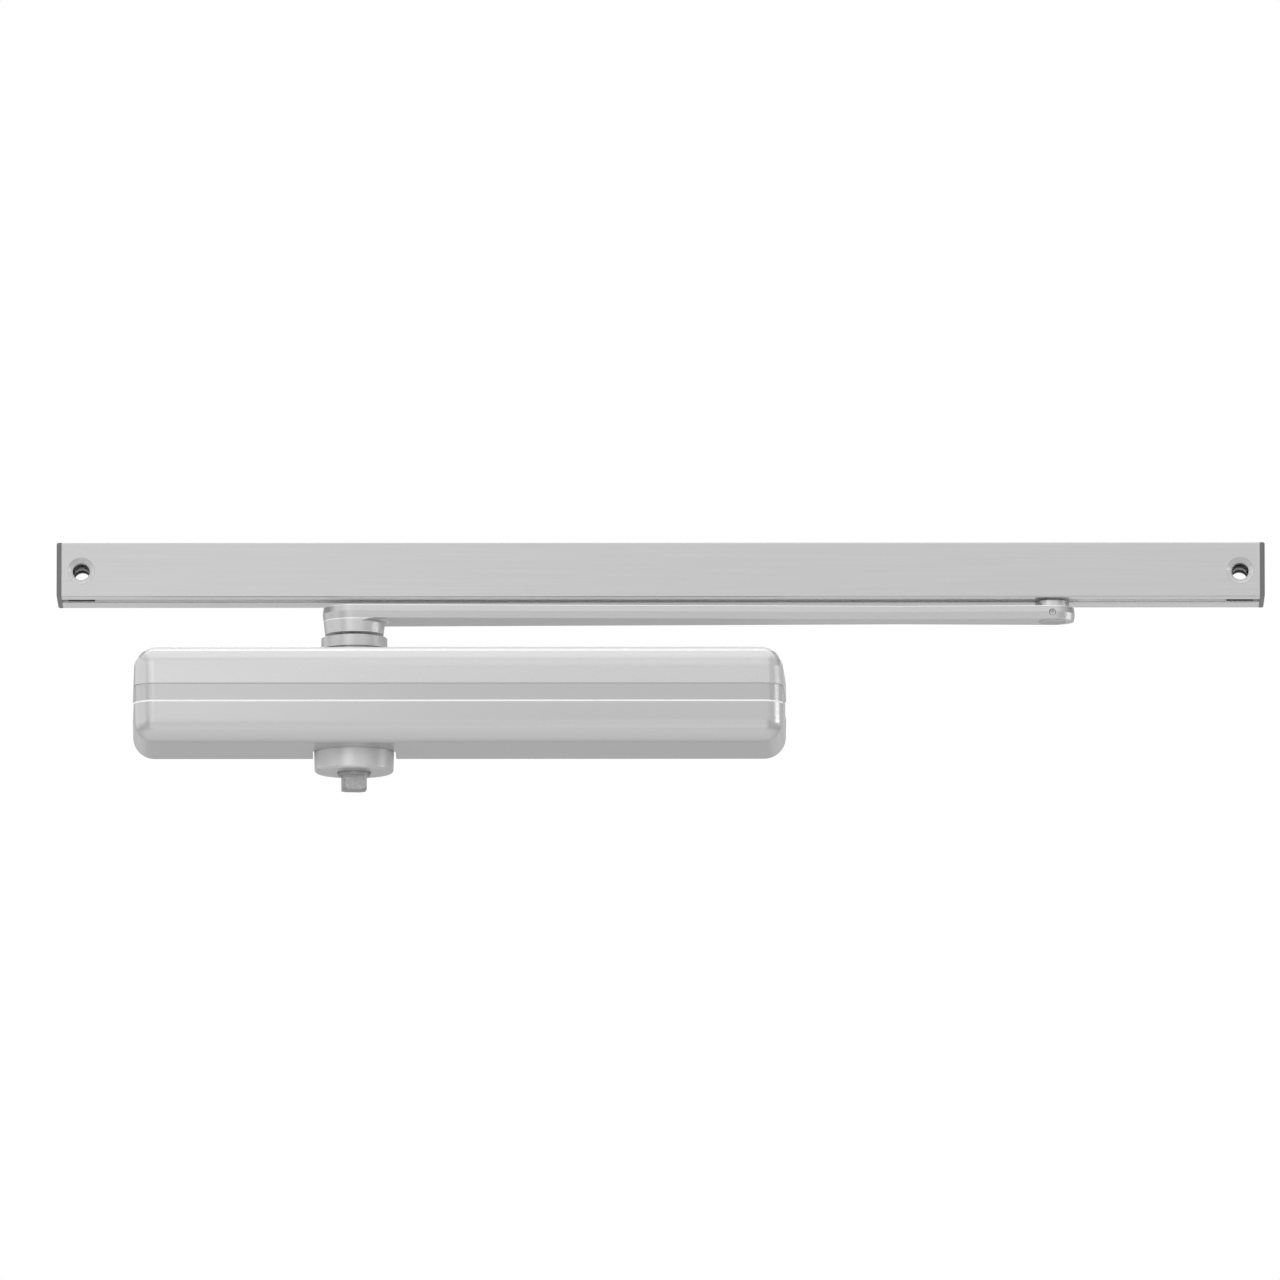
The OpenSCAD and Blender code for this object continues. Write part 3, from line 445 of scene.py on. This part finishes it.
def extruded(name, level, metallic, roughness):
    """Anodised extrusion with faint die lines. Its lower faces are smoother and painted
    paler, painted light in their shade; the faces inside the channel are painted pale and
    dull, painted light in the channel's shade; the countersinks are painted paler below
    and darker above, and the bores dark: painted shade."""
    g = Finish(name)
    lines = g.noise(scale=900.0, detail=5.0, stretch=(0.02, 1, 1))
    cloud = g.noise(scale=14.0, detail=2.0)
    y, z = g.place("Y"), g.place("Z")
    low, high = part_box("slider_block")

    below = g.within(z, CAD_LOW[2], low[2] - UNDERSIDE_DROP)
    inside = g.math(
        "MULTIPLY",
        g.within(y, low[1] - WALL_REACH, high[1] + WALL_REACH),
        g.within(z, low[2] - SLOT_DROP, high[2] + LEDGE_REACH),
    )
    ring, up = around_holes(g)
    start = CAD_LOW[1] + SINK_START
    sink = g.math(
        "MULTIPLY",
        g.within(ring, -FAR, SINK_R),
        g.within(y, start, DOOR, SINK_SOFT),
    )
    bore = g.math(
        "MULTIPLY",
        g.within(ring, -FAR, BORE_R),
        g.within(y, start + BORE_START, FAR),
    )
    shade = g.remap(up, SINK_SHADE, (0.0, 1.0))
    sink_painted_shade = g.blend(shade, *(grey(end) for end in SINK_SHADE_LEVELS))

    colour = g.tones(lines, level - 2, level + 2)
    # Painted light on the lower faces and in the channel, painted shade on the
    # countersinks and in the bores.
    colour = g.blend(below, colour, grey(UNDERSIDE_LIGHT_LEVEL))
    colour = g.blend(inside, colour, grey(CHANNEL_LIGHT_LEVEL))
    colour = g.blend(sink, colour, sink_painted_shade)
    colour = g.blend(bore, colour, grey(BORE_SHADE_LEVEL))
    rough = g.vary(cloud, roughness - 0.03, roughness + 0.03)
    rough = g.blend(below, rough, UNDERSIDE_ROUGH)
    rough = g.blend(sink, rough, SINK_ROUGH)
    metal = g.blend(sink, g.blend(inside, metallic, 0.0), SINK_METAL)
    ridges = g.math("MULTIPLY", lines, g.math("SUBTRACT", 1.0, below))
    skin = g.bump(ridges, strength=0.03, distance=0.0001)
    return g.surface(colour, metal, rough, skin)


def turned(name, level, metallic, roughness):
    """Bare turned and milled steel: tool lines round it and a mottled, handled skin."""
    g = Finish(name)
    lines = g.noise(scale=1200.0, detail=4.0, stretch=(0.3, 0.3, 2.5))
    mottle = g.noise(scale=1300.0, detail=3.0, roughness=0.7)
    colour = g.tones(mottle, level - 20, level + 14)
    rough = g.vary(mottle, roughness + 0.08, roughness - 0.06)
    tooled = g.bump(lines, strength=0.2, distance=0.00006)
    skin = g.bump(mottle, strength=0.3, distance=0.0001, before=tooled)
    return g.surface(colour, metallic, rough, skin)


def cast(name, level, metallic, roughness, spread):
    """Cast or plated metal: a coarse, slightly pitted skin."""
    g = Finish(name)
    pits = g.noise(scale=700.0, detail=6.0, roughness=0.7)
    cloud = g.noise(scale=40.0, detail=3.0)
    colour = g.tones(cloud, level - spread, level + spread)
    rough = g.vary(pits, roughness - 0.08, roughness + 0.08)
    skin = g.bump(pits, strength=0.35, distance=0.0003)
    return g.surface(colour, metallic, rough, skin)


def moulded(name, level, roughness, shade_mask_of=None):
    """Moulded rubber or plastic: a fine spark-eroded texture. Where the mask that
    shade_mask_of makes is 1, it is painted black and dull: a painted shade."""
    g = Finish(name)
    texture = g.noise(scale=1500.0, detail=3.0)
    cloud = g.noise(scale=30.0, detail=2.0)
    colour = g.tones(cloud, level - 4, level + 4)
    rough = g.vary(texture, roughness - 0.06, roughness + 0.06)
    if shade_mask_of is not None:
        mask = shade_mask_of(g)
        colour = g.blend(mask, colour, grey(TONGUE_SHADE_LEVEL))
        rough = g.blend(mask, rough, TONGUE_ROUGH)
    skin = g.bump(texture, strength=0.15, distance=0.0001)
    return g.surface(colour, 0.0, rough, skin)


def cap_tongue_shade(g):
    """A mask of what the end caps have inside the rail, which is painted black as shade.
    """
    (left, _), (_, right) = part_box("left_track_cap"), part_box("right_track_cap")
    middle, half = (left[0] + right[0]) / 2, (right[0] - left[0]) / 2
    away = g.math("ABSOLUTE", g.math("SUBTRACT", g.place("X"), middle))
    return g.within(away, 0.0, half - TONGUE_INSET, TONGUE_SOFT)


# Each material slot's finish, with what its function takes after the name: level,
# share of metal except where moulded, roughness, and what is its own.
FINISHES = {
    "cover_paint": (paint, 185, 0.4, 0.235, COVER_LIGHT_AND_SHADE),
    "silver_paint": (paint, 181, 0.4, 0.31, TRIM_PAINTED_LIGHT),
    "arm_paint": (paint, 179, 0.4, 0.31, ARM_PAINTED_LIGHT),
    "track_aluminium": (extruded, 181, 0.4, 0.36),
    "cast_alloy": (cast, 150, 0.8, 0.5, 8),
    "bare_steel": (turned, 152, 0.8, 0.34),
    "bright_steel": (drawn, 190, 0.95, 0.2, (1, 1, 0.1)),
    "spring_steel": (drawn, 120, 0.9, 0.32, (1, 1, 1)),
    "zinc_steel": (cast, 178, 0.85, 0.32, 5),
    "valve_brass": (drawn, 170, 0.9, 0.3, (1, 1, 1)),
    "black_rubber": (moulded, 40, 0.6),
    "dark_plastic": (moulded, 101, 0.42, cap_tongue_shade),
    "white_nylon": (moulded, 215, 0.45),
}
SLOTS = {name: make(name, *values) for name, (make, *values) in FINISHES.items()}


# ------------------------------------------------------------------- pieces
SHARP_DEGREES = 30
WELD = 1e-6


def smoothing():
    """A node group that shades a mesh smooth and keeps the edges that turn by more
    than SHARP_DEGREES."""
    group = bpy.data.node_groups.new("smooth_by_angle", "GeometryNodeTree")
    for way in ("INPUT", "OUTPUT"):
        group.interface.new_socket(
            "Geometry", in_out=way, socket_type="NodeSocketGeometry"
        )
    nodes, links = group.nodes, group.links
    plain = nodes.new("GeometryNodeRemoveAttribute")
    plain.inputs["Name"].default_value = "custom_normal"
    weld = nodes.new("GeometryNodeMergeByDistance")
    weld.inputs["Distance"].default_value = WELD
    soft = nodes.new("GeometryNodeSetShadeSmooth")
    soft.domain = "FACE"
    crisp = nodes.new("GeometryNodeSetShadeSmooth")
    crisp.domain = "EDGE"
    crisp.inputs["Shade Smooth"].default_value = False
    bend = nodes.new("GeometryNodeInputMeshEdgeAngle")
    sharper = nodes.new("FunctionNodeCompare")
    sharper.operation = "GREATER_THAN"
    sharper.inputs["B"].default_value = math.radians(SHARP_DEGREES)
    links.new(bend.outputs["Unsigned Angle"], sharper.inputs["A"])
    links.new(sharper.outputs["Result"], crisp.inputs["Selection"])
    first, last = nodes.new("NodeGroupInput"), nodes.new("NodeGroupOutput")
    steps = (first, plain, weld, soft, crisp, last)
    for before, after in zip(steps, steps[1:]):
        links.new(before.outputs[0], after.inputs[0])
    return group


def smooth(name):
    """Lays smooth shading over a faceted node with modifiers; its mesh stays."""
    obj = NODES[name]
    obj.modifiers.new("smooth", "NODES").node_group = smoothing()
    normals = obj.modifiers.new("normals", "WEIGHTED_NORMAL")
    normals.keep_sharp = True
    normals.weight = 100


def put_material(mesh, slot):
    mesh.materials.clear()
    mesh.materials.append(SLOTS[slot])


def dress():
    for part in frame["record"]["subparts"]:
        put_material(NODES[part["node"]].data, part["material_slot"])


def make_spring():
    """The closing spring as a piece of its own with a copy of the node's mesh, hung on
    the closer body's empty."""
    spring = add_object("closing_spring_coil", NODES["closing_spring"].data.copy())
    put_material(spring.data, "spring_steel")
    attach(spring, "closer_body")
    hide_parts("closing_spring")
    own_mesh(spring)


bpy.context.scene.view_settings.view_transform = "Standard"
make_camera()
make_world()
make_floor()
for lamp in LAMPS:
    area_light(*lamp)
smooth("cover")
dress()
make_spring()
